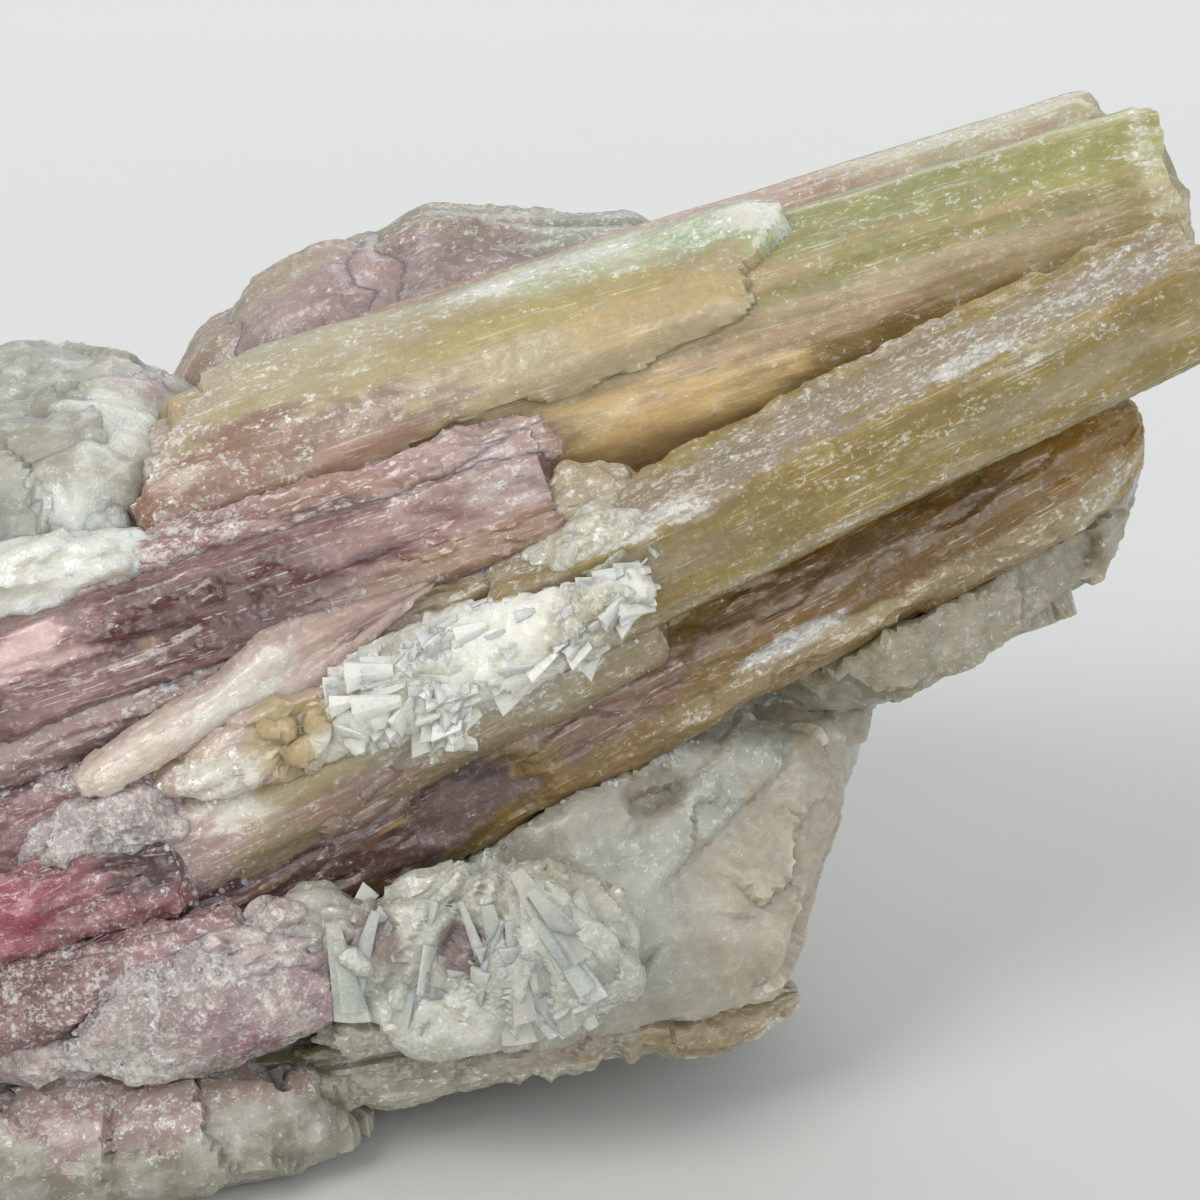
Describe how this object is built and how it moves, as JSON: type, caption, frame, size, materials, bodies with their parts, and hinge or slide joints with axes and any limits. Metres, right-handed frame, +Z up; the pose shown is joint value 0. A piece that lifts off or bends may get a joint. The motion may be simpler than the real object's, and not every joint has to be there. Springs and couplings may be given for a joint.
{
  "type": "mineral specimen",
  "caption": "Hand specimen of pink and green-tan tourmaline crystals leaning up out of broken milky quartz with white bladed albite.",
  "frame": {"origin": "on the surface it rests on, under the middle of the specimen", "axes": "+X to the right along the crystals toward their free tips, -Y the front, +Z up"},
  "size_m": [0.1409, 0.0708, 0.085],
  "materials": {
    "green_tourmaline": "satin",
    "peach_tourmaline": "satin",
    "tan_tourmaline": "satin",
    "brown_tourmaline": "satin",
    "rubellite": "satin",
    "hot_pink_rubellite": "satin",
    "mauve_rubellite": "satin",
    "cleavelandite": "satin",
    "lepidolite": "matte",
    "milky_quartz": "satin"
  },
  "bodies": {
    "root": {"upper_prism": "green_tourmaline", "back_top_prism": "peach_tourmaline", "front_prism": "tan_tourmaline", "lower_prism": "brown_tourmaline", "tan_prism": "tan_tourmaline", "rubellite_bundle": "rubellite", "rubellite_finger": "rubellite", "hot_pink_rubellite": "hot_pink_rubellite", "back_rubellite": "mauve_rubellite", "ledge": "tan_tourmaline", "cleavelandite_upper": "cleavelandite", "cleavelandite_lower": "cleavelandite", "lepidolite": "lepidolite", "quartz_matrix": "milky_quartz"}
  },
  "joints": []
}
